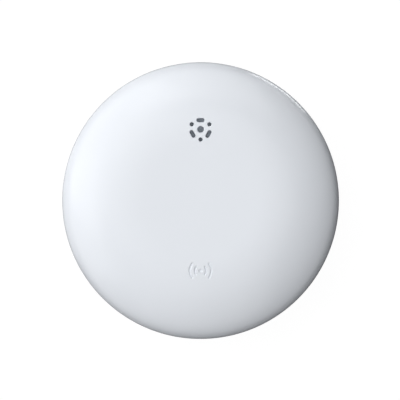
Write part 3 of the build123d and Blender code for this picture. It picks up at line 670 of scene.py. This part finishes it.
lines = add_node(tree, "ShaderNodeBump", {"Height": brushing.outputs["Fac"], "Distance": 0.003 * MM})
tree.links.new(lines.outputs[0], shader["Normal"])
dress(cell_steel, "cell_can", "cell_cap")
grommet_finish = moulded("natural polypropylene", "#C9C9C4", "#BDBDB7", 0.45, 0.5, 0.002)
dress(grommet_finish, "cell_grommet")

# Door seal and foam pad
# A flat ring of grey silicone seals the door, and a disc of black closed-cell foam presses the cell home. The
# foam's cut cells show as fine pits, which are painted darker where the relief lies deepest, as painted
# shade.

silicone = moulded("grey silicone rubber", "#46494D", "#3E4145", 0.62, 0.3, 0.006)
dress(silicone, "door_seal")
foam, tree, shader, place = new_material("closed-cell black foam")
froth = {"Vector": place, "Scale": 1 / (0.35 * MM)}
bubbles = add_node(tree, "ShaderNodeTexVoronoi", froth, feature="SMOOTH_F1")
# The foam is painted darker where its relief lies deepest, a painted shade in its hollows.
tree.links.new(blend(tree, bubbles.outputs["Distance"], "#242426", "#161617"), shader["Base Color"])
shader["Roughness"].default_value = 0.9
depths = {"Height": bubbles.outputs["Distance"], "Distance": 0.06 * MM}
pits = add_node(tree, "ShaderNodeBump", depths, invert=True)
tree.links.new(pits.outputs[0], shader["Normal"])
dress(foam, "door_pad")

# Battery door
# The round door in the back: an ABS moulding from a spark-eroded mould, so finely matt, with a slot for a
# coin, a sunk pointer, and three lugs on its skirt that turn under the housing's ledges.

face = [(0, 0.1), (12.15, 0.1), (12.29, 0.14), (12.35, 0.25), (12.35, 1.05), (10.65, 1.05)]
door = turned("door_moulding", face + [(10.65, 2.95), (10.15, 2.95), (10.15, 1.05), (0, 1.05)])
lug = turned("lug", [(10.4, 2.2), (11.45, 2.2), (11.45, 2.94), (10.4, 2.94), (10.4, 2.2)])
lug_span = 24
combine(door, repeat_round(slice_of(lug, first_lug_turn, lug_span), lug_count), "UNION")

# The slot's long edges are broken by a wedge, and then the coin's own round edge cuts it.
bpy.ops.object.select_all(action="DESELECT")
bpy.ops.mesh.primitive_cube_add(size=1, scale=(11.0 * MM, 2.0 * MM, 0.2 * MM), location=(0, 0, 0.1 * MM))
wedge = bpy.context.object
bpy.ops.object.transform_apply(location=True, rotation=True, scale=True)
for point in wedge.data.vertices:
    if point.co.z > 0.1 * MM:
        point.co.x, point.co.y = point.co.x * 0.94, point.co.y * 0.78
combine(door, wedge, "DIFFERENCE")
bpy.ops.object.select_all(action="DESELECT")
coin_radius, coin_thickness, slot_floor = 36.25, 1.6, 0.6
bpy.ops.mesh.primitive_cylinder_add(
    vertices=720,
    radius=coin_radius * MM,
    depth=coin_thickness * MM,
    location=(0, 0, (slot_floor - coin_radius) * MM),
    rotation=(pi / 2, 0, 0),
)
coin = bpy.context.object
combine(door, coin, "DIFFERENCE")
bpy.ops.object.select_all(action="DESELECT")
bpy.ops.mesh.primitive_cone_add(
    vertices=3,
    radius1=1.0 * MM,
    radius2=0.5 * MM,
    depth=0.3 * MM,
    location=(0, -10.95 * MM, 0.1 * MM),
    rotation=(0, 0, pi),
)
pointer = bpy.context.object
combine(door, pointer, "DIFFERENCE")

# Sparked ABS: the same white as the housing, but matt, with a grain of about 0.12 mm.
matt_abs = moulded("spark-textured white ABS", "#E2E6EA", "#DEE2E6", 0.5, 0.12, 0.008)
finish_piece(door, matt_abs, "battery_door", "door")

# Table, lamps and camera
# A white table that lies under the tracker, a large soft lamp at the upper left, one overhead and weaker
# ones that lift the sides. The camera looks straight down on the cover, as in the photograph.

bpy.ops.object.select_all(action="DESELECT")
bpy.ops.mesh.primitive_plane_add(size=4)
table = bpy.context.object
table.name = "table"
white_board, tree, shader, place = new_material("matt white board")
shader["Base Color"].default_value = (0.9, 0.9, 0.9, 1)
shader["Roughness"].default_value = 0.9
shader["Specular IOR Level"].default_value = 0.0
reach = add_node(tree, "ShaderNodeVectorMath", {0: place}, operation="LENGTH")
# Near the tracker the board keeps its faint shadow; further out it is the plain white of the background.
span = {"Value": reach.outputs["Value"], "From Min": 60 * MM, "From Max": 200 * MM, "To Min": 0.92}
evened = add_node(tree, "ShaderNodeMapRange", span)
board_light = tree.nodes["Principled BSDF"].outputs[0]
glow = add_node(tree, "ShaderNodeEmission", {"Strength": 1.04})
board = {0: evened.outputs[0], 1: board_light, 2: glow.outputs[0]}
seen_board = add_node(tree, "ShaderNodeMixShader", board)
# It is seen from above, and in reflections only well away from the tracker, as in the photograph, where the
# tracker's rim stays dark. For any other ray, and from below, it is clear, so that the back can be looked at.
clear = add_node(tree, "ShaderNodeBsdfTransparent")
rays = add_node(tree, "ShaderNodeLightPath")
under = add_node(tree, "ShaderNodeNewGeometry").outputs["Backfacing"]
span = {"Value": reach.outputs["Value"], "From Min": 35 * MM, "From Max": 80 * MM}
away = add_node(tree, "ShaderNodeMapRange", span)
looks = {0: rays.outputs["Is Glossy Ray"], 1: rays.outputs["Is Transmission Ray"]}
either = add_node(tree, "ShaderNodeMath", looks, operation="MAXIMUM")
mirrored = add_node(tree, "ShaderNodeMath", {0: either.outputs[0], 1: away.outputs[0]}, operation="MULTIPLY")
looks = {0: rays.outputs["Is Camera Ray"], 1: mirrored.outputs[0]}
met = add_node(tree, "ShaderNodeMath", looks, operation="MAXIMUM")
seen = add_node(tree, "ShaderNodeMath", {0: met.outputs[0], 1: under}, operation="SUBTRACT", use_clamp=True)
sides = {0: seen.outputs[0], 1: clear.outputs[0], 2: seen_board.outputs[0]}
surface = add_node(tree, "ShaderNodeMixShader", sides)
tree.links.new(surface.outputs[0], tree.nodes["Material Output"].inputs["Surface"])
table.data.materials.append(white_board)


def soft_lamp(name, place, turn, size, power, shape="SQUARE"):
    """A lamp panel at a place in metres, turned by angles, that the camera doesn't see."""
    bpy.ops.object.select_all(action="DESELECT")
    bpy.ops.object.light_add(type="AREA", location=place, rotation=turn)
    lamp = bpy.context.object
    lamp.name = name
    lamp.data.shape = shape
    lamp.data.size, lamp.data.size_y = size
    lamp.data.energy = power
    lamp.visible_camera = False


def aimed_lamp(name, azimuth, lean, distance, size, power):
    """A soft lamp that faces the tracker from an azimuth and an angle off the vertical."""
    turn, tilt = radians(azimuth), radians(lean)
    place = (distance * sin(tilt) * cos(turn), distance * sin(tilt) * sin(turn), distance * cos(tilt))
    soft_lamp(name, place, (0, tilt, turn), (size, size), power)


aimed_lamp("key lamp", 147, 57, 0.6, 0.8, 2.5)
aimed_lamp("left lamp", 190, 60, 0.6, 0.6, 1.035)
aimed_lamp("back lamp", 90, 60, 0.6, 0.6, 1.09)
aimed_lamp("front lamp", 270, 50, 0.6, 0.6, 0.7)
soft_lamp("top lamp", (0, 0, 1.5), (0, 0, 0), (1.4, 1.4), 4.77, "DISK")
# Three lamps below the table's level brighten the upper left rim, which reflects them, and model the back.
# The fill under them lights the back and, faintly, the very edge of the upper left rim.
aimed_lamp("rim lamp", 100, 120, 0.9, 0.7, 0.985)
aimed_lamp("rim lamp", 140, 120, 0.9, 0.7, 0.75)
aimed_lamp("rim lamp", 180, 120, 0.9, 0.7, 1.08)
aimed_lamp("under fill", 150, 160, 0.9, 0.7, 5.5)
bpy.context.object.visible_glossy = False

# A curved white card, lying lit beside the tracker, draws the thin bright line inside its upper right rim.
card_inner, card_outer, card_height = 24.7, 26.5, 0.3
card_start, card_end = 40, 68
card_steps = 1024
card = turned("card", [(card_inner, card_height), (card_outer, card_height)], card_steps)
for side, azimuth in ((-1, card_start), (1, card_end)):
    work_on(card)
    bpy.ops.object.mode_set(mode="EDIT")
    bpy.ops.mesh.select_all(action="SELECT")
    turn = radians(azimuth)
    outward = (-side * sin(turn), side * cos(turn), 0)
    bpy.ops.mesh.bisect(plane_co=(0, 0, 0), plane_no=outward, clear_outer=True)
    bpy.ops.object.mode_set(mode="OBJECT")
lit_card, tree, shader, place = new_material("lit white card")
gleam = add_node(tree, "ShaderNodeEmission", {"Strength": 7.0})
tree.links.new(gleam.outputs[0], tree.nodes["Material Output"].inputs["Surface"])
card.data.materials.append(lit_card)
card.visible_camera = False

# The room is white to the eye and in reflections above the table, and lights the tracker only faintly.
room = bpy.data.worlds.new("white room")
bpy.context.scene.world = room
room.use_nodes = True
tree = room.node_tree
rays = add_node(tree, "ShaderNodeLightPath")
direction = add_node(tree, "ShaderNodeTexCoord").outputs["Generated"]
heading = add_node(tree, "ShaderNodeSeparateXYZ", {0: direction})
upward = add_node(tree, "ShaderNodeMath", {0: heading.outputs["Z"], 1: 0.0}, operation="GREATER_THAN")
looks = {0: rays.outputs["Is Glossy Ray"], 1: rays.outputs["Is Transmission Ray"]}
either = add_node(tree, "ShaderNodeMath", looks, operation="MAXIMUM")
parts = {0: either.outputs[0], 1: upward.outputs[0]}
mirrored = add_node(tree, "ShaderNodeMath", parts, operation="MULTIPLY")
looks = {0: rays.outputs["Is Camera Ray"], 1: mirrored.outputs[0]}
shown = add_node(tree, "ShaderNodeMath", looks, operation="MAXIMUM")
faint = add_node(tree, "ShaderNodeMapRange", {"Value": upward.outputs[0], "To Min": 0.0, "To Max": 0.146})
strength = add_node(tree, "ShaderNodeMix", {0: shown.outputs[0], 2: faint.outputs[0], 3: 1.0})
walls = tree.nodes["Background"].inputs
walls["Color"].default_value = (1, 1, 1, 1)
tree.links.new(strength.outputs[0], walls["Strength"])

half_view = 27.467
camera_height = 1500
# The tracker stands this far from the middle of the photograph, right and down.
off_middle = 0.082
camera_place = (-off_middle * MM, off_middle * MM, camera_height * MM)
bpy.ops.object.select_all(action="DESELECT")
bpy.ops.object.camera_add(location=camera_place, rotation=(0, 0, 0))
camera = bpy.context.object
camera.data.sensor_width = 36
camera.data.lens = camera.data.sensor_width / 2 * (camera_height - equator_height) / half_view
bpy.context.scene.camera = camera
bpy.context.scene.view_settings.view_transform = "Standard"
